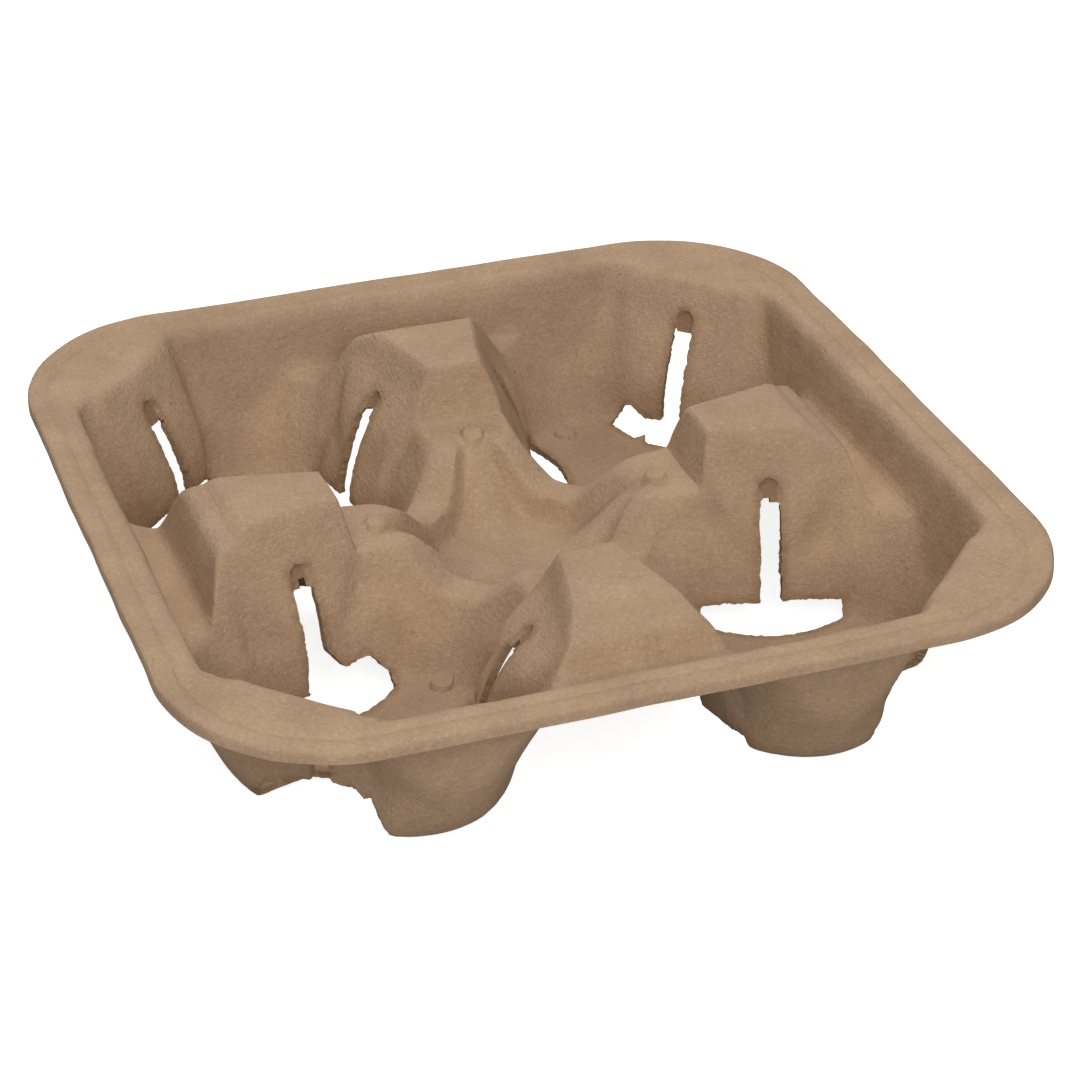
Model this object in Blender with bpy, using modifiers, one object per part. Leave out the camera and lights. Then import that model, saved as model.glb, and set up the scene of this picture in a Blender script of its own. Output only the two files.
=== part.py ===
"""Moulded pulp carrier for four cups, one piece of even thickness.

The tray is square and the same in all four quarters. Each quarter holds one
tapered well, which is a triangle with round corners seen from above. Four
posts stand between the wells on the middle lines, a low hub with a sunken star
lies in the centre, and a flat rim with a turned down lip runs around the
outside. Every well has three flat pads, each with an upside down T cut through
it, so that the pads can bend outward around a cup. The wells fill the width
that the gap between them and the margin under the rim leave free.
All sizes below are in millimetres; the mesh is made in metres.
"""
import math

import bmesh
import bpy

MM = 0.001

SIDE = 215.0             # outside width of the square tray
RIM_TOP = 45.0           # top of the rim above the table
CORNER_R = 42.0          # radius of the rim's outside corners
PULP = 1.8               # thickness of the pulp

RIM_W = 11.5             # width of the rim seen from above
RIM_GROOVE = 0.9         # depth of the soft groove that runs along the rim
LIP = 3.6                # how far the outside lip turns down
RIM_DRAFT = 8.4          # slope of the wall under the rim, degrees

WELL_GAP = 39.6          # between the floors of two neighbouring wells
WELL_MARGIN = 11.2       # from a well's floor to the inside of the rim
WELL_FLARE = 24.5        # slope of the well wall in those corners, degrees

PAD_SET = 6.1            # pad in from the reach of the round corners at the floor
PAD_DRAFT = 7.0          # slope of the lower part of a pad, degrees
PAD_BEND = 16.0          # height where a pad leans further out
PAD_LEAN = 24.9          # slope of the upper part of a pad, degrees
PAD_TURN = 121.5         # angle from the corner pad to each post pad

POST_RISE = 2.0          # post top above the rim
POST_BACK = 4.3          # inner edge of a post top behind the well centres
POST_MARGIN = 33.8       # from a post top to the outside of the rim
POST_FOOT = 3.5          # how far the inner face of a post runs out
STEP_W = 1.8             # width of the small step outside a post top
STEP_D = 2.6             # depth of that step
LEDGE_W = 5.0            # width of the narrow ledge below the step
FLANK_RUN = 5.5          # how far the outer face of a post runs out
SHELF_Z = 27.0           # saddle between a post and the rim

SHOULDER_Z = 33.0        # flat behind the inner foot of a post
SHOULDER_W = 13.0        # length of that flat, towards the centre
COLLAR_Z = 22.0          # lowest level of the collar between hub and well
COLLAR_W = 8.9           # width of the collar
STAR_Z = 17.5            # floor of the sunken star in the hub
STAR_STEP = 2.2          # run of the star's side walls

BUTTON_SET = 5.8         # shoulder button from the foot of its post
BUTTON_R = 2.6
BUTTON_H = 1.1
FLOOR_BUTTON_SET = 5.0   # floor button in from the reach of the round corners

SLOT_W = 5.4             # width of the upright slot in a pad
SLOT_TOP = 31.5          # top of the upright slot
BAR_SHORT = 14.5         # half length of the bar under the reach of the corners
BAR_DEPTH = 8.4          # how far the bar runs in from the pad
BAR_BOW = 6.4            # how far that edge bows towards the well centre
BAR_TOP = 5.5            # top of the bar
RAMP_DROP = 0.12         # fall of the ramp inside each corner of the rim

HALF = SIDE / 2
WELL_R = (HALF - RIM_W - WELL_MARGIN - WELL_GAP / 2) / 2  # reach at the floor
WELL_AT = WELL_GAP / 2 + WELL_R
PAD_AT = WELL_R - PAD_SET
BAR_HALF = WELL_R - BAR_SHORT
BAR_IN = PAD_AT - BAR_DEPTH
FLOOR_BUTTON_R = WELL_R - FLOOR_BUTTON_SET
POST_IN = WELL_AT - POST_BACK
POST_OUT = HALF - POST_MARGIN
POST_TOP = RIM_TOP + POST_RISE
RIM_INNER_Z = RIM_TOP - 0.8
STEP_OUT = POST_OUT + STEP_W
LEDGE_OUT = STEP_OUT + LEDGE_W
FLANK_OUT = LEDGE_OUT + FLANK_RUN
SHOULDER_OUT = POST_IN - POST_FOOT
SHOULDER_IN = SHOULDER_OUT - SHOULDER_W
BUTTON_AT = SHOULDER_OUT - BUTTON_SET
CORNER_TURN = 45.0
SHELF_OUT = HALF - RIM_W - (RIM_INNER_Z - SHELF_Z) * math.tan(math.radians(RIM_DRAFT))
FLAT_R = PAD_AT - 2.0    # the floor is flat out to here

RAY_POINTS = 9           # mesh points along each ray outside the flat floor
HUB_RAYS = 5             # rays between the hub diagonal and the shoulder
HUB_ROW = 0.46065        # share of the way from that diagonal to the shoulder
CORNER_RAYS = 10         # rays between a shelf and the corner diagonal
RIM_STEPS = 3            # mesh points along the rim beside each shelf


def tangent(angle):
    return math.tan(math.radians(angle))


def ease(t):
    """Smooth step from 0 to 1."""
    t = min(1.0, max(0.0, t))
    return t * t * (3.0 - 2.0 * t)


def soft_max(a, b, size):
    """The larger of two heights with the crease between them rounded."""
    blend = max(size - abs(a - b), 0.0) / size
    return max(a, b) + blend * blend * size / 4.0


def soft_min(a, b, size):
    return -soft_max(-a, -b, size)


def inset(x, y):
    """Distance of a point in from the tray's outline."""
    cx = max(x - (HALF - CORNER_R), 0.0)
    cy = max(y - (HALF - CORNER_R), 0.0)
    if cx > 0.0 and cy > 0.0:
        return CORNER_R - math.hypot(cx, cy)
    return HALF - max(x, y)


def pad_reach(z):
    """Distance of the pad faces from the well centre at one level."""
    steep = PAD_AT + z * tangent(PAD_DRAFT)
    lean = steep + (z - PAD_BEND) * (tangent(PAD_LEAN) - tangent(PAD_DRAFT))
    return soft_max(steep, lean, 0.8)


def outside_well(dx, dy, z):
    """How far a point lies outside the outline of a well at one level.

    The outline has three flats, the pads, joined by three round corners.
    """
    flat = pad_reach(z)
    reach = WELL_R + z * tangent(WELL_FLARE)
    worst = -99.0
    for turn in (0.0, PAD_TURN, -PAD_TURN):
        angle = math.radians(CORNER_TURN + turn)
        worst = max(worst, dx * math.cos(angle) + dy * math.sin(angle) - flat)
    for turn, half in ((PAD_TURN / 2, PAD_TURN / 2), (-PAD_TURN / 2, PAD_TURN / 2),
                       (180.0, 180.0 - PAD_TURN)):
        angle = math.radians(CORNER_TURN + turn)
        spread = math.cos(math.radians(half))
        middle = (reach - flat) / (1.0 - spread)
        along = dx * math.cos(angle) + dy * math.sin(angle) - middle
        aside = dy * math.cos(angle) - dx * math.sin(angle)
        if along > spread * math.hypot(along, aside):
            worst = max(worst, math.hypot(along, aside) - (reach - middle))
    return worst


def well_height(x, y):
    """Height of the inside of a well, walls and floor."""
    dx = x - WELL_AT
    dy = y - WELL_AT
    low, high = -8.0, 72.0
    for _ in range(18):
        level = (low + high) / 2.0
        if outside_well(dx, dy, level) > 0.0:
            low = level
        else:
            high = level
    return soft_max(low, PULP, 6.0)


def profile(points, at):
    """Height on a line of straight pieces through (place, height) points."""
    if at <= points[0][0]:
        return points[0][1]
    for (p0, z0), (p1, z1) in zip(points, points[1:]):
        if at <= p1:
            return z0 + (z1 - z0) * (at - p0) / (p1 - p0)
    return points[-1][1]


POST_LINE = (
    (SHOULDER_OUT, SHOULDER_Z),
    (POST_IN, POST_TOP),
    (POST_OUT, POST_TOP),
    (STEP_OUT, POST_TOP - STEP_D),
    (LEDGE_OUT, POST_TOP - STEP_D - 1.0),
    (FLANK_OUT, SHELF_Z),
)


def hub_height(x, y):
    """Collars around the wells and the sunken star between them."""
    out = max(x, y)
    aside = out - min(x, y)
    collar = COLLAR_Z + (SHOULDER_Z - COLLAR_Z) * ease(
        (aside - SHOULDER_IN * 0.15) / (SHOULDER_IN * 0.65))
    star = STAR_Z + (SHOULDER_Z - 3.0 - STAR_Z) * ease(
        (aside - SHOULDER_IN * 0.25) / (SHOULDER_IN * 0.75))
    if out > SHOULDER_IN:
        star += 3.0 * min(1.0, (out - SHOULDER_IN) / STAR_STEP)
    radius = math.hypot(x - WELL_AT, y - WELL_AT)
    edge = WELL_R + COLLAR_Z * tangent(WELL_FLARE) + COLLAR_W
    return collar + (star - collar) * ease((radius - edge) / STAR_STEP)


def deck_height(x, y):
    """Height of everything that stands between the wells."""
    if x > WELL_AT and y > WELL_AT:
        return RIM_INNER_Z - RAMP_DROP * max(inset(x, y) - RIM_W, 0.0)
    out = max(x, y)
    if out < SHOULDER_OUT:
        return hub_height(x, y)
    return profile(POST_LINE, out)


def height(x, y):
    """Height of the upper face of the pulp inside the rim."""
    inside = soft_min(deck_height(x, y), well_height(x, y), 4.0)
    rim_wall = RIM_INNER_Z - (inset(x, y) - RIM_W) / tangent(RIM_DRAFT)
    return soft_max(inside, rim_wall, 3.0)


def well_edge(y):
    """Where the level line at this y leaves the post and meets the well."""
    x = 0.0
    while x < WELL_AT and well_height(x, y) > deck_height(x, y):
        x += 0.25
    return x


def hub_edge(angle):
    """Where the wall of a well meets the hub in one direction."""
    radius = FLAT_R
    while radius < WELL_AT:
        x = WELL_AT + radius * math.cos(angle)
        y = WELL_AT + radius * math.sin(angle)
        if well_height(x, y) > deck_height(x, y):
            break
        radius += 0.25
    return (x, y)


def path_point(stops, t):
    """Point at a share t of the length of a line through the stops."""
    lengths = [math.dist(a, b) for a, b in zip(stops, stops[1:])]
    left = t * sum(lengths)
    for (a, b), length in zip(zip(stops, stops[1:]), lengths):
        if left <= length or b is stops[-1]:
            share = min(left / max(length, 1e-6), 1.0)
            return (a[0] + (b[0] - a[0]) * share, a[1] + (b[1] - a[1]) * share)
        left -= length
    return stops[-1]


def ray(stops, points):
    """Mesh points along one ray, closest where the surface turns most."""
    fine = 160
    line = []
    for i in range(fine + 1):
        x, y = path_point(stops, i / fine)
        line.append((x, y, height(x, y)))
    weight = [0.0]
    heading = None
    for a, b in zip(line, line[1:]):
        flat = math.dist(a[:2], b[:2])
        slope = math.atan2(b[2] - a[2], max(flat, 1e-6))
        turn = 0.0 if heading is None else abs(slope - heading)
        heading = slope
        weight.append(weight[-1] + math.dist(a, b) + 9.0 * turn)
    picked = []
    i = 0
    for k in range(points + 1):
        goal = weight[-1] * k / points
        while i < fine and weight[i] < goal - 1e-9:
            i += 1
        picked.append(line[i])
    return picked


def across_deck(edge, end):
    """Mesh points from a well's edge across the deck to a middle line."""
    shares = [0.25, 0.6, 1.0]
    collar = WELL_R + COLLAR_Z * tangent(WELL_FLARE) + COLLAR_W
    marks = []
    for reach in (collar, collar + STAR_STEP):
        t = 0.0
        while t < 1.0:
            x, y = path_point((edge, end), t)
            if math.hypot(x - WELL_AT, y - WELL_AT) > reach:
                break
            t += 0.01
        marks.append(t)
    if end[1] < SHOULDER_IN + STAR_STEP and 0.1 < marks[0] < marks[1] < 0.95:
        shares = marks + [1.0]
    points = []
    for share in shares:
        x, y = path_point((edge, end), share)
        points.append((x, y, height(x, y)))
    return points


def rim_line(share):
    """Point on the inner edge of the rim, from beside a shelf to the corner."""
    start = well_edge(SHELF_OUT)
    radius = CORNER_R - RIM_W
    straight = HALF - CORNER_R - start
    length = straight + radius * math.pi / 4
    at = share * length
    if at <= straight:
        return (start + at, HALF - RIM_W)
    angle = math.pi / 2 - (at - straight) / radius
    centre = HALF - CORNER_R
    return (centre + radius * math.cos(angle), centre + radius * math.sin(angle))


def outward(x, y):
    """Direction straight out across the rim."""
    cx = max(x - (HALF - CORNER_R), 0.0)
    cy = max(y - (HALF - CORNER_R), 0.0)
    if cx > 0.0 and cy > 0.0:
        return (cx / math.hypot(cx, cy), cy / math.hypot(cx, cy))
    return (0.0, 1.0)


RIM_LINE = (
    (0.0, RIM_INNER_Z),
    (0.36, RIM_TOP - 0.25),
    (0.49, RIM_TOP - RIM_GROOVE),
    (0.62, RIM_TOP),
    (0.92, RIM_TOP),
    (1.0, RIM_TOP - 1.0),
    (1.0, RIM_TOP - LIP),
)


def half_rays():
    """Rays of one eighth of the tray, from the hub diagonal to the corner."""
    centre = (WELL_AT, WELL_AT)
    rows = []
    diagonal = WELL_AT - (WELL_R + COLLAR_Z * tangent(WELL_FLARE)) / math.sqrt(2.0)
    star_row = diagonal + HUB_ROW * (SHOULDER_IN - diagonal)
    first = (well_edge(star_row), star_row)
    start = math.atan2(first[1] - WELL_AT, first[0] - WELL_AT) % (2 * math.pi)
    end = math.radians(180.0 + CORNER_TURN)
    for i in range(HUB_RAYS):
        share = i / HUB_RAYS
        angle = end + (start - end) * share
        rows.append((centre, hub_edge(angle), (0.0, star_row * share)))
    post = POST_OUT - POST_IN
    levels = (star_row, SHOULDER_IN - 1.0, SHOULDER_IN + STAR_STEP, BUTTON_AT,
              SHOULDER_OUT, POST_IN, POST_IN + post / 3, POST_OUT - post / 3,
              POST_OUT, STEP_OUT, LEDGE_OUT, FLANK_OUT,
              (FLANK_OUT + SHELF_OUT) / 2, SHELF_OUT)
    for level in levels:
        rows.append((centre, (well_edge(level), level), (0.0, level)))
    rays = []
    for middle, edge, end in rows:
        begin = path_point((middle, edge), FLAT_R / math.dist(middle, edge))
        wall = ray((begin, edge), RAY_POINTS - 3)
        rays.append(wall + across_deck(edge, end))
    for i in range(CORNER_RAYS + 1):
        stop = rim_line(i / CORNER_RAYS)
        begin = path_point((centre, stop), FLAT_R / math.dist(centre, stop))
        rays.append(ray((begin, stop), RAY_POINTS))
    return rays, len(rows)


def quarter_mesh():
    """Upper face of one quarter of the tray as an open surface."""
    bm = bmesh.new()

    def vertex(point, swap):
        x, y, z = point
        if swap:
            x, y = y, x
        return bm.verts.new((x * MM, y * MM, z * MM))

    rays, shelf_rays = half_rays()
    for swap in (False, True):
        centre = vertex((WELL_AT, WELL_AT, height(WELL_AT, WELL_AT)), swap)
        grid = [[vertex(point, swap) for point in line] for line in rays]
        for a, b in zip(grid, grid[1:]):
            bm.faces.new((centre, a[0], b[0]))
            for k in range(RAY_POINTS):
                bm.faces.new((a[k], a[k + 1], b[k + 1], b[k]))
        beside = []
        start = rays[shelf_rays][-1]
        for i in range(RIM_STEPS):
            share = i / RIM_STEPS
            beside.append((start[0] * share, start[1], RIM_INNER_Z))
        edge = beside + [(p[-1][0], p[-1][1], RIM_INNER_Z) for p in rays[shelf_rays:]]
        ring = [vertex(point, swap) for point in beside]
        ring += [line[-1] for line in grid[shelf_rays:]]
        last_row = grid[shelf_rays - 1][-1]
        for a, b in zip(ring[:RIM_STEPS], ring[1:]):
            bm.faces.new((last_row, a, b))
        for place, level in RIM_LINE[1:]:
            following = []
            for x, y, _ in edge:
                ox, oy = outward(x, y)
                reach = place * RIM_W
                following.append(vertex((x + ox * reach, y + oy * reach, level), swap))
            for i in range(len(ring) - 1):
                bm.faces.new((ring[i], following[i], following[i + 1], ring[i + 1]))
            ring = following
    bmesh.ops.remove_doubles(bm, verts=bm.verts, dist=0.00001)
    bmesh.ops.recalc_face_normals(bm, faces=bm.faces)
    if sum(face.normal.z * face.calc_area() for face in bm.faces) < 0.0:
        bmesh.ops.reverse_faces(bm, faces=bm.faces)
    return bm


def add_object(name, bm, collection):
    mesh = bpy.data.meshes.new(name)
    bm.to_mesh(mesh)
    bm.free()
    obj = bpy.data.objects.new(name, mesh)
    collection.objects.link(obj)
    return obj


def prism(bm, outline, low, high):
    """Closed upright prism over an outline of (x, y) points."""
    bottom = [bm.verts.new((x * MM, y * MM, low * MM)) for x, y in outline]
    top = [bm.verts.new((x * MM, y * MM, high * MM)) for x, y in outline]
    bm.faces.new(list(reversed(bottom)))
    bm.faces.new(top)
    count = len(outline)
    for i in range(count):
        j = (i + 1) % count
        bm.faces.new((bottom[i], bottom[j], top[j], top[i]))


def wells():
    """Centre of each well with the direction of its corner of the tray."""
    for sx, sy in ((1, 1), (-1, 1), (-1, -1), (1, -1)):
        yield sx, sy, math.atan2(sy, sx)


def placed(sx, sy, angle, along, across):
    """Point given from a well centre, along and across one pad's direction."""
    x = sx * WELL_AT + along * math.cos(angle) - across * math.sin(angle)
    y = sy * WELL_AT + along * math.sin(angle) + across * math.cos(angle)
    return (x, y)


def slot_cutter():
    """Twelve upright slots with a rounded top."""
    bm = bmesh.new()
    half = SLOT_W / 2
    arch = [(-half, PULP + 1.0), (half, PULP + 1.0)]
    for i in range(5):
        turn = math.pi * i / 4
        arch.append((half * math.cos(turn), SLOT_TOP - half + half * math.sin(turn)))
    near = PAD_AT - 6.0
    far = PAD_AT + SLOT_TOP * tangent(PAD_LEAN) + 2.0 * PULP
    for sx, sy, corner in wells():
        for turn in (0.0, PAD_TURN, -PAD_TURN):
            angle = corner + math.radians(turn)
            rings = []
            for along in (near, far):
                ring = []
                for across, z in arch:
                    x, y = placed(sx, sy, angle, along, across)
                    ring.append(bm.verts.new((x * MM, y * MM, z * MM)))
                rings.append(ring)
            bm.faces.new(list(reversed(rings[0])))
            bm.faces.new(rings[1])
            for i in range(len(arch)):
                j = (i + 1) % len(arch)
                bm.faces.new((rings[0][i], rings[0][j], rings[1][j], rings[1][i]))
    bmesh.ops.recalc_face_normals(bm, faces=bm.faces)
    return bm


def bar_cutter():
    """Twelve bowed bars where the pads meet the floor."""
    bm = bmesh.new()
    bow_r = (BAR_HALF ** 2 + BAR_BOW ** 2) / (2.0 * BAR_BOW)
    swing = math.asin(BAR_HALF / bow_r)
    far = WELL_R + 4.0 * PULP + BAR_TOP
    for sx, sy, corner in wells():
        for turn in (0.0, PAD_TURN, -PAD_TURN):
            angle = corner + math.radians(turn)
            outline = []
            steps = 8
            for i in range(steps + 1):
                bow = swing * (2.0 * i / steps - 1.0)
                along = BAR_IN + bow_r * (1.0 - math.cos(bow))
                outline.append(placed(sx, sy, angle, along, -bow_r * math.sin(bow)))
            outline.append(placed(sx, sy, angle, far, -BAR_HALF))
            outline.append(placed(sx, sy, angle, far, BAR_HALF))
            prism(bm, outline, -PULP, BAR_TOP)
    bmesh.ops.recalc_face_normals(bm, faces=bm.faces)
    return bm


def button_adder():
    """Small round buttons on the shoulders and on two of the well floors."""
    bm = bmesh.new()
    spots = []
    for i in range(4):
        turn = math.pi / 2 * i
        spots.append((BUTTON_AT * math.cos(turn), BUTTON_AT * math.sin(turn), SHOULDER_Z))
    for side, turn in ((1, CORNER_TURN + PAD_TURN / 2), (-1, CORNER_TURN)):
        angle = math.radians(turn)
        x = side * WELL_AT + FLOOR_BUTTON_R * math.cos(angle)
        y = side * WELL_AT + FLOOR_BUTTON_R * math.sin(angle)
        spots.append((x, y, PULP))
    for x, y, z in spots:
        outline = []
        for i in range(12):
            turn = 2.0 * math.pi * i / 12
            outline.append((x + BUTTON_R * math.cos(turn), y + BUTTON_R * math.sin(turn)))
        prism(bm, outline, z - PULP / 2, z + BUTTON_H)
    bmesh.ops.recalc_face_normals(bm, faces=bm.faces)
    return bm


def pulp_material():
    material = bpy.data.materials.new("grey_brown_pulp")
    material.use_nodes = True
    shader = material.node_tree.nodes["Principled BSDF"]
    shader.inputs["Base Color"].default_value = (0.40, 0.28, 0.19, 1.0)
    shader.inputs["Roughness"].default_value = 0.95
    return material


def build():
    for obj in list(bpy.data.objects):
        bpy.data.objects.remove(obj, do_unlink=True)
    scene = bpy.context.scene
    parts = bpy.data.collections.new("cardboard_cup_carrier")
    tools = bpy.data.collections.new("cutters")
    scene.collection.children.link(parts)
    scene.collection.children.link(tools)

    tray = add_object("moulded_tray", quarter_mesh(), parts)
    tray.data.materials.append(pulp_material())
    mirror = tray.modifiers.new("four_quarters", "MIRROR")
    mirror.use_axis = (True, True, False)
    mirror.use_clip = False
    mirror.merge_threshold = 0.00002
    shell = tray.modifiers.new("pulp_thickness", "SOLIDIFY")
    shell.thickness = PULP * MM
    shell.offset = -1.0

    steps = (
        ("slots", slot_cutter(), "DIFFERENCE"),
        ("bars", bar_cutter(), "DIFFERENCE"),
        ("buttons", button_adder(), "UNION"),
    )
    for name, bm, operation in steps:
        tool = add_object("cut_" + name, bm, tools)
        tool.hide_render = True
        tool.display_type = "WIRE"
        cut = tray.modifiers.new(name, "BOOLEAN")
        cut.operation = operation
        cut.solver = "EXACT"
        cut.use_self = True
        cut.object = tool


build()
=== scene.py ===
import math

import bmesh
import bpy
from mathutils import Matrix, Vector, noise


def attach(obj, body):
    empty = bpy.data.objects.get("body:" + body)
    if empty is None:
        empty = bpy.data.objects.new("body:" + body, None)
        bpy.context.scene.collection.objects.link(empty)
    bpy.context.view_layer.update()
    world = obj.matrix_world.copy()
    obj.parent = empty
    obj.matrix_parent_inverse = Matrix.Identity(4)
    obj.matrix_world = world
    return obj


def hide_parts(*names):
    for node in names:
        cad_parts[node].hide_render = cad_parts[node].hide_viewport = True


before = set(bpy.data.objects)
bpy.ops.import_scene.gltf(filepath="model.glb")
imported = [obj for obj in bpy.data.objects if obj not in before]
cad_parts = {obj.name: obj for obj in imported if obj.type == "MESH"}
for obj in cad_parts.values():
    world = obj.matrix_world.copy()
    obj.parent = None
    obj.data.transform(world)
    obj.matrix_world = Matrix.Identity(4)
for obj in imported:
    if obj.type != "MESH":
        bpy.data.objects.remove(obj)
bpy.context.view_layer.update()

# The camera looks down on the near corner through a long lens, from the
# front and a little to the left, as in the photograph. The lens is shifted
# slightly, because the tray is not in the middle of the frame.
look = Vector((0.28932, 0.80880, -0.51203))
camera_data = bpy.data.cameras.new("camera")
camera_data.sensor_fit = "HORIZONTAL"
camera_data.sensor_width = 36.0
camera_data.lens = 98.0
camera_data.shift_x = 0.02143
camera_data.shift_y = -0.0117
camera_data.clip_start = 0.01
camera_data.clip_end = 20.0
camera = bpy.data.objects.new("camera", camera_data)
camera.location = Vector((0.0, 0.0, 0.025)) - look * 0.733
camera.rotation_euler = look.to_track_quat("-Z", "Y").to_euler()
bpy.context.scene.collection.objects.link(camera)
bpy.context.scene.camera = camera

# The mould that the pulp is drawn onto gives every face its slope. These
# sizes are in millimetres, and height() gives the upper face of the pulp
# over any point inside the rim of the right back quarter.
MM = 0.001
HALF = 107.5             # half the outside width
CORNER_R = 42.0          # outside corners of the rim
PULP = 1.8               # thickness of the pulp
RIM_W = 11.5
RIM_TOP = 45.0
RIM_INNER = 44.2         # height of the rim's inner edge
RIM_SLOPE = math.tan(math.radians(8.4))
WELL_AT = 52.3           # middle of a well from both middle lines
WELL_R = 32.5            # reach of a well's round corners at its floor
WELL_SLOPE = math.tan(math.radians(24.5))
FLAT_R = 24.4            # the floor is flat out to here
PAD_AT = 26.4            # a pad's face from the middle of the well
PAD_LOW_SLOPE = math.tan(math.radians(7.0))
PAD_HIGH_SLOPE = math.tan(math.radians(24.9))
PAD_BEND = 16.0          # height where a pad leans further out
PAD_TURNS = (0.0, 121.5, -121.5)
ROUND_TURNS = ((60.75, 60.75), (-60.75, 60.75), (180.0, 58.5))
SHOULDER = 33.0          # flat in front of a post
SHOULDER_IN = 31.5
SHOULDER_OUT = 44.5
COLLAR = 22.0            # lowest level between the hub and a well
COLLAR_OUT = WELL_R + COLLAR * WELL_SLOPE + 8.9
STAR = 15.0              # floor of the sunken star in the hub
STAR_STEP = 3.2
POST_LINE = ((44.5, 33.0), (48.0, 47.0), (73.7, 47.0), (75.5, 44.4),
             (80.5, 43.4), (85.0, 27.8))
FRONT_LINE = POST_LINE[:-1] + ((83.5, 36.6),)


def ease(t):
    t = min(1.0, max(0.0, t))
    return t * t * (3.0 - 2.0 * t)


def soft_max(a, b, size):
    blend = max(size - abs(a - b), 0.0) / size
    return max(a, b) + blend * blend * size / 4.0


def soft_min(a, b, size):
    return -soft_max(-a, -b, size)


def inset(x, y):
    cx = max(x - (HALF - CORNER_R), 0.0)
    cy = max(y - (HALF - CORNER_R), 0.0)
    if cx > 0.0 and cy > 0.0:
        return CORNER_R - math.hypot(cx, cy)
    return HALF - max(x, y)


PAD_WAYS = [(math.cos(math.radians(45.0 + t)), math.sin(math.radians(45.0 + t)))
            for t in PAD_TURNS]
ROUND_WAYS = [(math.cos(math.radians(45.0 + t)), math.sin(math.radians(45.0 + t)),
               math.cos(math.radians(half))) for t, half in ROUND_TURNS]


def pad_reach(z):
    steep = PAD_AT + z * PAD_LOW_SLOPE
    lean = steep + (z - PAD_BEND) * (PAD_HIGH_SLOPE - PAD_LOW_SLOPE)
    return soft_max(steep, lean, 0.8)


def outside_well(dx, dy, z):
    """How far a point lies outside the outline of a well at one level: three
    flats, the pads, joined by three round corners."""
    flat = pad_reach(z)
    reach = WELL_R + z * WELL_SLOPE
    worst = max(dx * c + dy * s for c, s in PAD_WAYS) - flat
    for c, s, spread_cos in ROUND_WAYS:
        middle_at = (reach - flat) / (1.0 - spread_cos)
        along = dx * c + dy * s - middle_at
        far = math.hypot(along, dy * c - dx * s)
        if along > spread_cos * far:
            worst = max(worst, far - (reach - middle_at))
    return worst


def well_height(x, y):
    dx = x - WELL_AT
    dy = y - WELL_AT
    low, high = -8.0, 72.0
    for _ in range(16):
        level = (low + high) / 2.0
        if outside_well(dx, dy, level) > 0.0:
            low = level
        else:
            high = level
    return soft_max(low, PULP, 6.0)


def hub_height(x, y):
    out = max(x, y)
    aside = out - min(x, y)
    collar = COLLAR + (SHOULDER - COLLAR) * ease(
        (aside - SHOULDER_IN * 0.15) / (SHOULDER_IN * 0.65))
    star = STAR + (SHOULDER - 3.0 - STAR) * ease(
        (aside - SHOULDER_IN * 0.25) / (SHOULDER_IN * 0.75))
    if out > SHOULDER_IN:
        star += 3.0 * min(1.0, (out - SHOULDER_IN) / STAR_STEP)
    radius = math.hypot(x - WELL_AT, y - WELL_AT)
    return collar + (star - collar) * ease((radius - COLLAR_OUT) / STAR_STEP)


def on_line(line, at):
    """Value at one place on a line of straight pieces."""
    if at <= line[0][0]:
        return line[0][1]
    for (p0, z0), (p1, z1) in zip(line, line[1:]):
        if at <= p1:
            return z0 + (z1 - z0) * (at - p0) / (p1 - p0)
    return line[-1][1]


def deck_height(x, y, post=POST_LINE):
    if x > WELL_AT and y > WELL_AT:
        return RIM_INNER - 0.12 * max(inset(x, y) - RIM_W, 0.0)
    out = max(x, y)
    if out < SHOULDER_OUT:
        return hub_height(x, y)
    return on_line(post, out)


def height(x, y, post=POST_LINE):
    inside = soft_min(deck_height(x, y, post), well_height(x, y), 3.0)
    rim_wall = RIM_INNER - (inset(x, y) - RIM_W) / RIM_SLOPE
    return soft_max(inside, rim_wall, 2.0)


# The whole carrier is one skin of moulded pulp. Its upper face is laid out
# as grids whose rows run from the middle of a well, up its wall and over the
# deck to the middle line, or up to the rim.
WALL_ROWS = 28
DECK_ROWS = 12
FLOOR_ROWS = (0.0, 5.0, 9.0, 12.5, 15.5, 18.5, 21.5)
HUB_RAYS = 12
LEVELS = 46
CORNER_RAYS = 30
RIM_ROWS = ((0.06, RIM_INNER + 0.12), (0.2, RIM_TOP - 0.62), (0.32, RIM_TOP - 0.32),
            (0.4, RIM_TOP - 0.45), (0.49, RIM_TOP - 0.9), (0.57, RIM_TOP - 0.4),
            (0.66, RIM_TOP - 0.05), (0.78, RIM_TOP), (0.88, RIM_TOP), (0.94, RIM_TOP - 0.1),
            (0.975, RIM_TOP - 0.4), (0.995, RIM_TOP - 0.9), (1.0, RIM_TOP - 1.8),
            (1.0, RIM_TOP - 3.1))


def between(a, b, t):
    return (a[0] + (b[0] - a[0]) * t, a[1] + (b[1] - a[1]) * t)


def spread(a, b, rows):
    """Points on the pulp from a to b, closest where it turns most."""
    fine = 150
    line = []
    for i in range(fine + 1):
        x, y = between(a, b, i / fine)
        line.append((x, y, height(x, y)))
    weight = [0.0]
    heading = None
    for p, q in zip(line, line[1:]):
        slope = math.atan2(q[2] - p[2], max(math.dist(p[:2], q[:2]), 1e-6))
        turn = 0.0 if heading is None else abs(slope - heading)
        heading = slope
        weight.append(weight[-1] + math.dist(p, q) + 7.0 * turn)
    picked = []
    i = 0
    for k in range(rows + 1):
        goal = weight[-1] * k / rows
        while i < fine and weight[i] < goal - 1e-9:
            i += 1
        picked.append(line[i])
    return picked


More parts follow.
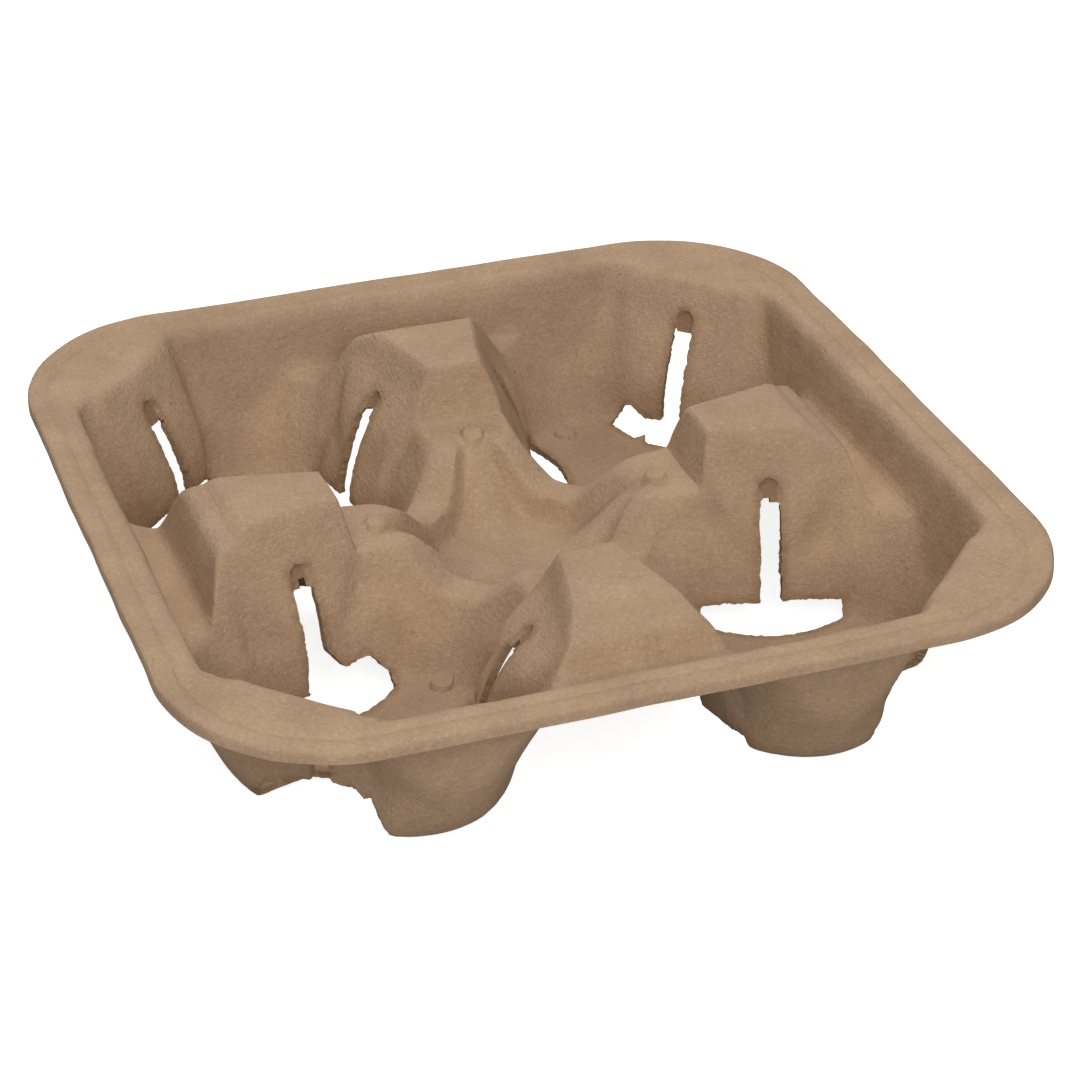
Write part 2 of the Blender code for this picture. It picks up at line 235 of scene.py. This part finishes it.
def well_edge(y):
    """Where the level line at this y leaves the deck and meets the well."""
    x = 0.0
    while x < WELL_AT and well_height(x, y) > deck_height(x, y):
        x += 0.05
    return (x, y)


def hub_edge(angle):
    radius = FLAT_R
    while radius < WELL_AT:
        x = WELL_AT + radius * math.cos(angle)
        y = WELL_AT + radius * math.sin(angle)
        if well_height(x, y) > deck_height(x, y):
            break
        radius += 0.05
    return (x, y)


def lay_grid(bm, lines):
    """A grid of the bmesh moved onto rows of points."""
    across = len(lines) - 1
    along = len(lines[0]) - 1
    made = bmesh.ops.create_grid(bm, x_segments=across, y_segments=along, size=1.0)
    for v in made["verts"]:
        i = round((v.co.x + 1.0) / 2.0 * across)
        j = round((v.co.y + 1.0) / 2.0 * along)
        v.co = Vector(lines[i][j]) * MM


middle = (WELL_AT, WELL_AT)
star_row = SHOULDER_IN - 5.0
first = well_edge(star_row)
first_angle = math.atan2(first[1] - WELL_AT, first[0] - WELL_AT) % (2 * math.pi)
rays = []
for i in range(HUB_RAYS):
    share = i / HUB_RAYS
    angle = math.radians(225.0) + (first_angle - math.radians(225.0)) * share
    rays.append((hub_edge(angle), (0.0, star_row * share)))
for point in spread((0.0, star_row), (0.0, HALF - RIM_W), LEVELS):
    rays.append((well_edge(point[1]), (0.0, point[1])))
deck_rays = len(rays)

start = rays[-1][0][0]
turn_r = CORNER_R - RIM_W
straight = HALF - CORNER_R - start
arc = turn_r * math.pi / 4
for i in range(1, CORNER_RAYS + 1):
    run = (straight + arc) * i / CORNER_RAYS
    if run <= straight:
        stop = (start + run, HALF - RIM_W)
    else:
        angle = math.pi / 2 - (run - straight) / turn_r
        stop = (HALF - CORNER_R + turn_r * math.cos(angle),
                HALF - CORNER_R + turn_r * math.sin(angle))
    rays.append((stop, None))

walls = []
decks = []
for edge, end in rays:
    reach = math.dist(middle, edge)
    floor = [between(middle, edge, r / reach) for r in FLOOR_ROWS]
    line = [(x, y, height(x, y)) for x, y in floor]
    walls.append(line + spread(between(middle, edge, FLAT_R / reach), edge, WALL_ROWS))
    if end:
        decks.append(spread(edge, end, DECK_ROWS))

inner = [(x, y) for x, y, z in reversed(decks[-1])]
inner += [line[-1][:2] for line in walls[deck_rays:]]
rim = []
for x, y in inner:
    cx = max(x - (HALF - CORNER_R), 0.0)
    cy = max(y - (HALF - CORNER_R), 0.0)
    far = math.hypot(cx, cy)
    ox, oy = (cx / far, cy / far) if cx > 0.0 and cy > 0.0 else (0.0, 1.0)
    line = [(x, y, height(x, y))]
    for share, level in RIM_ROWS:
        line.append((x + ox * share * RIM_W, y + oy * share * RIM_W, level))
    rim.append(line)

bm = bmesh.new()
lay_grid(bm, walls)
lay_grid(bm, decks)
lay_grid(bm, rim)
bmesh.ops.remove_doubles(bm, verts=bm.verts, dist=0.00001)
for flip in (Matrix(((0, 1, 0, 0), (1, 0, 0, 0), (0, 0, 1, 0), (0, 0, 0, 1))),
             Matrix.Scale(-1.0, 4, (1, 0, 0)), Matrix.Scale(-1.0, 4, (0, 1, 0))):
    copied = bmesh.ops.duplicate(bm, geom=bm.verts[:] + bm.edges[:] + bm.faces[:])
    verts = [g for g in copied["geom"] if isinstance(g, bmesh.types.BMVert)]
    bmesh.ops.transform(bm, matrix=flip, verts=verts)
    bmesh.ops.remove_doubles(bm, verts=bm.verts, dist=0.00001)
bmesh.ops.recalc_face_normals(bm, faces=bm.faces)
if sum(face.normal.z * face.calc_area() for face in bm.faces) < 0.0:
    bmesh.ops.reverse_faces(bm, faces=bm.faces)

# The photographed tray isn't quite even. Its front saddle is high, so that
# nothing shows under the rim there. On the post pads a flat tongue leans back
# between two steeper cheeks, and the corner pads stand in from the wall beside
# them. Cups have bent three pads further into their wells.
CORNERS = ((1, 1), (-1, 1), (-1, -1), (1, -1))
SADDLE_FROM = 79.0
SADDLE_HALF = 48.0
PAD_HALF = 23.0
PAD_FOOT = 2.6
PAD_HEAD = 45.5
POST_PAD_DEEP = 5.5
CORNER_PAD_DEEP = 9.0
TONGUE = ((17.0, 0.0), (23.5, 6.5), (31.0, 11.5), (38.0, 15.0), (46.0, 19.0))
CHEEK = ((5.0, 0.0), (15.0, 0.7), (20.0, 1.0), (33.0, 1.0), (42.0, 0.0))
CHEEK_SLOPE = 0.34
CHEEK_MOST = 2.6
PAD_STEP = ((3.0, 0.0), (7.0, -1.5), (32.0, -2.0), (38.0, -3.0), (45.0, -3.4))
BENT_STEP = ((3.0, -1.0), (8.0, -4.8), (28.0, -5.0), (33.0, -4.4), (45.0, -3.8))
BENT_CORNER = (-1, 1)
BENT_PADS = {((-1, -1), 121.5): -5.0, ((-1, 1), -121.5): -3.0}
BENT_RISE = ((3.0, 0.2), (8.0, 1.0), (30.0, 1.0), (40.0, 0.0))


def on_pad(co, corner, turn):
    """Place on a pad: across it, up its face or in along the floor, and out
    from the middle of the well."""
    sx, sy = corner
    angle = math.atan2(sy, sx) + math.radians(turn)
    dx = co.x / MM - sx * WELL_AT
    dy = co.y / MM - sy * WELL_AT
    out = dx * math.cos(angle) + dy * math.sin(angle)
    across = dy * math.cos(angle) - dx * math.sin(angle)
    return across, co.z / MM + min(0.0, out - PAD_AT), out


def post_pad_push(across, z, bent):
    aside = abs(across) - on_line(TONGUE, z)
    push = min(CHEEK_MOST, CHEEK_SLOPE * max(0.0, aside)) * on_line(CHEEK, z)
    push *= 1.0 - ease((abs(across) - 16.5) / 2.2)
    return push + bent * on_line(BENT_RISE, z) * (1.0 - ease((abs(across) - 12.0) / 7.0))


def corner_pad_push(across, z, past, step):
    push = on_line(step, z) * (1.0 - ease((abs(across) - 11.0 - 0.19 * z) / 4.0))
    return push * (1.0 - ease((past - 0.3) / 8.0))


for v in bm.verts:
    x, y = abs(v.co.x) / MM, abs(v.co.y) / MM
    if v.co.y < 0.0 and SADDLE_FROM < y < HALF - RIM_W + 0.1 and x < SADDLE_HALF:
        v.co.z += (height(x, y, FRONT_LINE) - height(x, y)) * MM
for corner in CORNERS:
    for turn in PAD_TURNS:
        angle = math.atan2(corner[1], corner[0]) + math.radians(turn)
        deep = POST_PAD_DEEP if turn else CORNER_PAD_DEEP
        step = BENT_STEP if corner == BENT_CORNER else PAD_STEP
        bent = BENT_PADS.get((corner, turn), 0.0)
        for v in bm.verts:
            if v.co.x * corner[0] < 0.0 or v.co.y * corner[1] < 0.0:
                continue
            across, rise, out = on_pad(v.co, corner, turn)
            z = v.co.z / MM
            past = out - pad_reach(z)
            if abs(across) > PAD_HALF or not PAD_FOOT <= z <= PAD_HEAD or abs(past) > deep:
                continue
            if turn:
                push = post_pad_push(across, z, bent)
            else:
                push = corner_pad_push(across, z, past, step)
            v.co.x += push * math.cos(angle) * MM
            v.co.y += push * math.sin(angle) * MM

# Wet pulp rounds every edge of the mould, most of all the inner edge of the
# rim and the edges of the corner pads.
SOFT_ROUNDS = 2
SOFTEST_ROUNDS = 6
soft = []
softest = []
for v in bm.verts:
    x, y, z = abs(v.co.x) / MM, abs(v.co.y) / MM, v.co.z / MM
    if z < 4.0 or v.is_boundary or inset(x, y) < RIM_W - 2.5:
        continue
    soft.append(v)
    corner = (math.copysign(1, v.co.x), math.copysign(1, v.co.y))
    across, rise, out = on_pad(v.co, corner, 0.0)
    by_pad = out > 0.0 and 6.0 < z < 44.0 and abs(abs(across) - 12.0 - 0.19 * z) < 6.0
    if by_pad or (z > 38.0 and inset(x, y) < RIM_W + 5.0):
        softest.append(v)
for chosen, rounds in ((soft, SOFT_ROUNDS), (softest, SOFTEST_ROUNDS)):
    for _ in range(rounds):
        bmesh.ops.smooth_vert(bm, verts=chosen, factor=0.5, use_axis_x=True,
                              use_axis_y=True, use_axis_z=True)

# Small round buttons stand on the shoulders and on two of the well floors,
# where the mould has a hollow. They are raised from a finer patch of the skin.
BUTTON_R = 3.0
BUTTON_H = 1.5
BUTTONS = ((36.5, -1.5), (0.5, 35.5), (-36.5, 0.0), (0.0, -36.5), (42.9, 79.5),
           (-30.0, -30.5))
for bx, by in BUTTONS:
    for _ in range(2):
        edges = {}
        for face in bm.faces:
            at = face.calc_center_median() / MM
            if math.hypot(at.x - bx, at.y - by) < BUTTON_R + 1.2:
                edges.update(dict.fromkeys(face.edges))
        bmesh.ops.subdivide_edges(bm, edges=list(edges), cuts=1, use_grid_fill=True)
    for v in bm.verts:
        far = math.hypot(v.co.x / MM - bx, v.co.y / MM - by)
        v.co.z += BUTTON_H * MM * (1.0 - ease((far - BUTTON_R + 0.5) / 0.7))

# The whole sheet is a little wavy, as pulp is when it has dried, and the near
# corner has warped, so that its well stands a little off the table.
WARP = 1.8
noise.seed_set(11)
for v in bm.verts:
    drift = noise.noise_vector(v.co * 28.0) * 0.55 + noise.noise_vector(v.co * 90.0) * 0.22
    v.co.x += drift.x * MM
    v.co.y += drift.y * MM
    if v.co.z > 3.0 * MM:
        v.co.z += drift.z * 0.8 * MM
    if v.co.x < 0.0 and v.co.y < 0.0:
        far = math.hypot(v.co.x / MM + WELL_AT, v.co.y / MM + WELL_AT)
        near = 1.0 - ease((far - 30.0) / 22.0)
        v.co.z += WARP * near * max(0.0, 1.0 - v.co.z / MM / RIM_TOP) * MM

# Twelve upside down T slots are punched through the pads while the pulp is
# damp, so their edges tear a little. Each cut follows a ragged line: the
# mesh is made finer along it, split on it, and emptied inside it.
SLOT_HALF = 2.7
SLOT_TOP = 36.0
SLOT_FOOT = 4.5
BAR_HALF = 17.9
BAR_IN = 18.0
BAR_BOW = 6.4
BAR_TOP = ((-17.9, 5.8), (17.9, 5.8))
TORN_BARS = {((-1, -1), 0.0): ((-17.9, 6.0), (-15.2, 9.1), (-5.3, 12.7), (0.0, 14.3),
                               (8.8, 14.6), (10.5, 12.4), (12.5, 13.4), (17.9, 0.5)),
             ((1, 1), 0.0): ((-17.9, 5.8), (3.0, 5.0), (8.0, 4.6), (12.5, 7.6),
                             (14.5, 7.2), (17.9, -2.0)),
             ((1, -1), 0.0): ((-17.9, 6.0), (-14.0, 9.5), (0.0, 12.5), (12.0, 12.5),
                              (17.9, 8.0)),
             ((-1, -1), -121.5): ((-18.7, 4.0), (-14.1, 10.6), (-6.8, 9.7), (-3.1, 14.8),
                                  (3.0, 14.0), (3.5, 6.0), (17.9, 5.5))}
TORN_FLOORS = {((-1, -1), 0.0): ((-17.9, 25.0), (-12.0, 15.0), (0.0, 12.0), (12.0, 14.5),
                                 (17.9, 28.5)),
               ((1, 1), 0.0): ((-17.9, 24.5), (-6.0, 18.6), (3.0, 18.0), (4.6, 18.8),
                               (5.8, 22.6), (6.8, 20.8), (8.0, 19.2), (17.9, 24.4))}
WEB = 31.6
WEB_BACK = 0.8
FINE_BANDS = (1.3, 0.65)
SHORTEST_EDGE = 0.00055
FAR_FROM_CUTS = 9.0


def slot_line(across, rise, seed, bar_top, bar_in):
    """Distance to the torn outline of a T slot, less than 0 inside it."""
    rag = 0.42 * noise.noise(Vector((across * 0.6, rise * 0.6, seed)))
    rag += 0.34 * noise.noise(Vector((across * 1.9, rise * 1.9, seed + 7.3)))
    top = SLOT_TOP - SLOT_HALF
    slot = abs(across) - SLOT_HALF
    if rise > top:
        slot = math.hypot(across, rise - top) - SLOT_HALF
    slot = max(slot, SLOT_FOOT - rise)
    crescent = BAR_IN + BAR_BOW * (across / BAR_HALF) ** 2 - PAD_AT + PULP
    if bar_in:
        crescent = on_line(bar_in, across) - PAD_AT + PULP
    end = abs(across) - BAR_HALF
    bar = max(end, rise - on_line(bar_top, across), crescent - rise)
    return min(slot, bar) + rag


cut_distance = bm.verts.layers.float.new("cut_distance")
# This layer holds how far the web in each slot is pushed back, for painted shade in that
# recess.
web_recess_shade = bm.verts.layers.float.new("web_recess_shade")


def measure_cut(corner, turn, seed):
    """Vertices near one slot, each with its distance to the outline."""
    near = []
    bar_top = TORN_BARS.get((corner, turn), BAR_TOP)
    bar_in = TORN_FLOORS.get((corner, turn))
    for v in bm.verts:
        if v.co.x * corner[0] < 0.0 or v.co.y * corner[1] < 0.0:
            continue
        across, rise, out = on_pad(v.co, corner, turn)
        if abs(across) < 22.0 and 5.0 < out < 52.0 and rise < SLOT_TOP + 4.0:
            v[cut_distance] = slot_line(across, rise, seed, bar_top, bar_in)
            near.append(v)
    return near


def split_on_line(near):
    """Split the edges that cross an outline, and join the splits."""
    measured_here = set(near)
    split = []
    for edge in dict.fromkeys(e for v in near for e in v.link_edges):
        a, b = edge.verts
        if (a in measured_here and b in measured_here
                and a[cut_distance] * b[cut_distance] < 0.0):
            share = a[cut_distance] / (a[cut_distance] - b[cut_distance])
            split.append((edge, a, min(max(share, 0.02), 0.98)))
    made = []
    for edge, a, share in split:
        made.append(bmesh.utils.edge_split(edge, a, share)[1])
    for v in made:
        v[cut_distance] = 0.0
    bmesh.ops.connect_verts(bm, verts=made)


for v in bm.verts:
    v[cut_distance] = FAR_FROM_CUTS
for number, corner in enumerate(CORNERS):
    for turn in PAD_TURNS:
        seed = 10.0 * number + turn / 30.0
        for band in FINE_BANDS:
            edges = {}
            for v in measure_cut(corner, turn, seed):
                if abs(v[cut_distance]) < band:
                    edges.update((e, None) for e in v.link_edges
                                 if e.calc_length() > SHORTEST_EDGE)
            bmesh.ops.subdivide_edges(bm, edges=list(edges), cuts=1, use_grid_fill=True)
        near = measure_cut(corner, turn, seed)
        split_on_line(near)
        inside = []
        web = set()
        for face in dict.fromkeys(f for v in near for f in v.link_faces):
            if sum(v[cut_distance] for v in face.verts) < 0.0:
                across, rise, out = on_pad(face.calc_center_median(), corner, turn)
                rag = 1.3 * noise.noise(Vector((across * 1.1, rise * 1.1, seed + 3.1)))
                if rise > WEB - 0.8 * abs(across) + rag and rise > 20.0:
                    web.update(face.verts)
                else:
                    inside.append(face)
        bmesh.ops.delete(bm, geom=inside, context="FACES")
        angle = math.atan2(corner[1], corner[0]) + math.radians(turn)
        # The web left at the top of a slot is pushed back into a recess, and its depth is
        # kept for painted shade there.
        for v in web:
            if v.is_valid and v[cut_distance] < 0.0:
                back = min(WEB_BACK, -1.2 * v[cut_distance]) * MM
                v.co.x += back * math.cos(angle)
                v.co.y += back * math.sin(angle)
                v[web_recess_shade] = min(1.0, -2.0 * v[cut_distance])
        for v in near:
            if v.is_valid:
                v[cut_distance] = abs(v[cut_distance])


def joined(face, v=None):
    """Faces joined to one by their edges, or by the edges at one corner."""
    found = {}
    queue = [face]
    while queue:
        face = queue.pop()
        if face in found:
            continue
        found[face] = None
        for edge in face.edges:
            if v is None or v in edge.verts:
                queue.extend(edge.link_faces)
    return found


# Crumbs that hang on by one corner, or on nothing, are brushed off.
CRUMB_FACES = 200
for _ in range(3):
    crumbs = {}
    for v in bm.verts:
        if sum(edge.is_boundary for edge in v.link_edges) > 2:
            fan = joined(v.link_faces[0], v)
            if 2 * len(fan) > len(v.link_faces):
                fan = {face: None for face in v.link_faces if face not in fan}
            crumbs.update(fan)
    bmesh.ops.delete(bm, geom=list(crumbs), context="FACES")
seen = {}
crumbs = {}
for face in bm.faces:
    if face not in seen:
        piece = joined(face)
        seen.update(piece)
        if len(piece) < CRUMB_FACES:
            crumbs.update(piece)
bmesh.ops.delete(bm, geom=list(crumbs), context="FACES")

# The sheet is given its thickness downwards. Its torn edges are browner.
sheet_mesh = bpy.data.meshes.new("pulp_sheet")
bm.to_mesh(sheet_mesh)
bm.free()
tray = bpy.data.objects.new("pulp_tray", sheet_mesh)
bpy.context.scene.collection.objects.link(tray)
skin = tray.modifiers.new("thickness", "SOLIDIFY")
skin.thickness = PULP * MM
skin.offset = -1.0
skin.material_offset_rim = 1
ready = bpy.context.evaluated_depsgraph_get()
tray_mesh = bpy.data.meshes.new_from_object(tray.evaluated_get(ready))
tray_mesh.name = "pulp_tray"
tray.modifiers.clear()
tray.data = tray_mesh
for polygon in tray_mesh.polygons:
    polygon.use_smooth = True
tray_mesh.set_sharp_from_angle(angle=math.radians(45.0))

# The pulp is dull and grey brown, clouded, grained and flecked with dark
# fibres, and its face keeps the weave of the wire screen that it was formed
# on. Where it is torn it shows browner inside. The web pushed back at the top
# of each slot is darkened with painted shade for its recess.
pulp = bpy.data.materials.new("grey_brown_pulp")
pulp.use_nodes = True
nodes = pulp.node_tree.nodes
links = pulp.node_tree.links
shader = nodes["Principled BSDF"]
shader.inputs["Roughness"].default_value = 0.95
shader.inputs["Specular IOR Level"].default_value = 0.15
place = nodes.new("ShaderNodeTexCoord")


def grain(scale, detail):
    texture = nodes.new("ShaderNodeTexNoise")
    texture.inputs["Scale"].default_value = scale
    texture.inputs["Detail"].default_value = detail
    texture.inputs["Roughness"].default_value = 0.62
    links.new(place.outputs["Object"], texture.inputs["Vector"])
    return texture.outputs["Fac"]


def span(value, low, high, to_low=0.0, to_high=1.0):
    limits = nodes.new("ShaderNodeMapRange")
    for name, number in (("From Min", low), ("From Max", high),
                         ("To Min", to_low), ("To Max", to_high)):
        limits.inputs[name].default_value = number
    links.new(value, limits.inputs["Value"])
    return limits.outputs["Result"]


def math_node(operation, a, b):
    made = nodes.new("ShaderNodeMath")
    made.operation = operation
    for socket, value in zip(made.inputs, (a, b)):
        if isinstance(value, float):
            socket.default_value = value
        else:
            links.new(value, socket)
    return made.outputs["Value"]


def tint(factor, under, colour):
    mixed = nodes.new("ShaderNodeMix")
    mixed.data_type = "RGBA"
    links.new(factor, mixed.inputs["Factor"])
    for name, value in (("A", under), ("B", colour)):
        if isinstance(value, tuple):
            mixed.inputs[name].default_value = value + (1.0,)
        else:
            links.new(value, mixed.inputs[name])
    return mixed.outputs["Result"]


def measured(name):
    attribute = nodes.new("ShaderNodeAttribute")
    attribute.attribute_name = name
    return attribute.outputs["Fac"]


clouds = span(grain(48.0, 4.0), 0.32, 0.68)
speckle = span(grain(1050.0, 5.0), 0.28, 0.72)
colour = tint(clouds, (0.445, 0.298, 0.190), (0.550, 0.380, 0.247))
colour = tint(span(speckle, 0.0, 1.0, 0.40, 0.0), colour, (0.31, 0.195, 0.11))
colour = tint(span(speckle, 0.6, 1.0, 0.0, 0.22), colour, (0.66, 0.50, 0.36))
colour = tint(span(grain(620.0, 2.0), 0.66, 0.73, 0.0, 0.4), colour, (0.24, 0.145, 0.08))
edge = math_node("MULTIPLY", span(measured("cut_distance"), 0.0, 2.6, 1.0, 0.0),
                 span(grain(420.0, 3.0), 0.3, 0.7, 0.2, 0.95))
# Painted shade: the pushed-back web at the top of each slot is darkened by its depth, in
# the brown of torn pulp.
edge = math_node("MAXIMUM", edge, span(measured("web_recess_shade"), 0.0, 1.0, 0.0, 0.85))
colour = tint(edge, colour, (0.275, 0.165, 0.088))
links.new(colour, shader.inputs["Base Color"])
weave = None
for direction in ("X", "Y", "Z"):
    wires = nodes.new("ShaderNodeTexWave")
    wires.bands_direction = direction
    wires.inputs["Scale"].default_value = 400.0
    wires.inputs["Distortion"].default_value = 2.0
    wires.inputs["Detail"].default_value = 1.0
    wires.inputs["Detail Scale"].default_value = 0.4
    links.new(place.outputs["Object"], wires.inputs["Vector"])
    weave = wires.outputs["Fac"] if weave is None else math_node(
        "ADD", weave, wires.outputs["Fac"])
relief = math_node("ADD", math_node("MULTIPLY", weave, 0.06), grain(900.0, 4.0))
relief = math_node("ADD", relief, math_node("MULTIPLY", grain(150.0, 3.0), 1.6))
bump = nodes.new("ShaderNodeBump")
bump.inputs["Strength"].default_value = 0.75
bump.inputs["Distance"].default_value = 0.0005
links.new(relief, bump.inputs["Height"])
links.new(bump.outputs["Normal"], shader.inputs["Normal"])
torn = pulp.copy()
torn.name = "torn_pulp"
nodes = torn.node_tree.nodes
links = torn.node_tree.links
shader = nodes["Principled BSDF"]
colour = nodes.new("ShaderNodeMix")
colour.data_type = "RGBA"
colour.inputs["Factor"].default_value = 0.55
links.new(shader.inputs["Base Color"].links[0].from_socket, colour.inputs["A"])
colour.inputs["B"].default_value = (0.27, 0.155, 0.08, 1.0)
links.new(colour.outputs["Result"], shader.inputs["Base Color"])
tray_mesh.materials.clear()
tray_mesh.materials.append(pulp)
tray_mesh.materials.append(torn)
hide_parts("moulded_tray")
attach(tray, "root")

# A plain white floor under the tray, which stands on its well floors. The
# camera sees it as white; for all other light it is a little darker.
bm = bmesh.new()
bmesh.ops.create_grid(bm, x_segments=1, y_segments=1, size=3.0)
floor_mesh = bpy.data.meshes.new("studio_floor")
bm.to_mesh(floor_mesh)
bm.free()
floor = bpy.data.objects.new("studio_floor", floor_mesh)
bpy.context.scene.collection.objects.link(floor)
white = bpy.data.materials.new("studio_white")
white.use_nodes = True
nodes = white.node_tree.nodes
links = white.node_tree.links
shader = nodes["Principled BSDF"]
shader.inputs["Roughness"].default_value = 1.0
shader.inputs["Specular IOR Level"].default_value = 0.0
shader.inputs["Base Color"].default_value = (0.55, 0.55, 0.55, 1.0)
shader.inputs["Emission Color"].default_value = (1.0, 1.0, 1.0, 1.0)
path = nodes.new("ShaderNodeLightPath")
glow = nodes.new("ShaderNodeMath")
glow.operation = "MULTIPLY"
glow.inputs[1].default_value = 0.86
links.new(path.outputs["Is Camera Ray"], glow.inputs[0])
links.new(glow.outputs["Value"], shader.inputs["Emission Strength"])
floor_mesh.materials.append(white)

# Soft studio light: a wide lamp overhead, one in front, one behind and a
# weaker one at the front left, so that faces turned to the right are darker.
for name, spot, size, power in (("top_lamp", (0.0, 0.0, 1.3), 1.6, 9.0),
                                ("front_lamp", (0.0, -1.2, 0.8), 1.0, 8.4),
                                ("side_lamp", (-0.85, -0.85, 0.8), 1.0, 4.4),
                                ("back_lamp", (0.0, 1.2, 0.8), 1.0, 8.2)):
    lamp_data = bpy.data.lights.new(name, "AREA")
    lamp_data.shape = "DISK"
    lamp_data.size = size
    lamp_data.energy = power
    lamp = bpy.data.objects.new(name, lamp_data)
    lamp.location = spot
    lamp.rotation_euler = (-Vector(spot)).to_track_quat("-Z", "Y").to_euler()
    bpy.context.scene.collection.objects.link(lamp)
world = bpy.data.worlds.new("studio")
bpy.context.scene.world = world
world.use_nodes = True
nodes = world.node_tree.nodes
links = world.node_tree.links
ground = nodes["Background"]
path = nodes.new("ShaderNodeLightPath")
tone = nodes.new("ShaderNodeMix")
tone.data_type = "RGBA"
tone.inputs["A"].default_value = (0.03, 0.03, 0.03, 1.0)
tone.inputs["B"].default_value = (1.0, 1.0, 1.0, 1.0)
links.new(path.outputs["Is Camera Ray"], tone.inputs["Factor"])
links.new(tone.outputs["Result"], ground.inputs["Color"])
bpy.context.scene.view_settings.view_transform = "Standard"
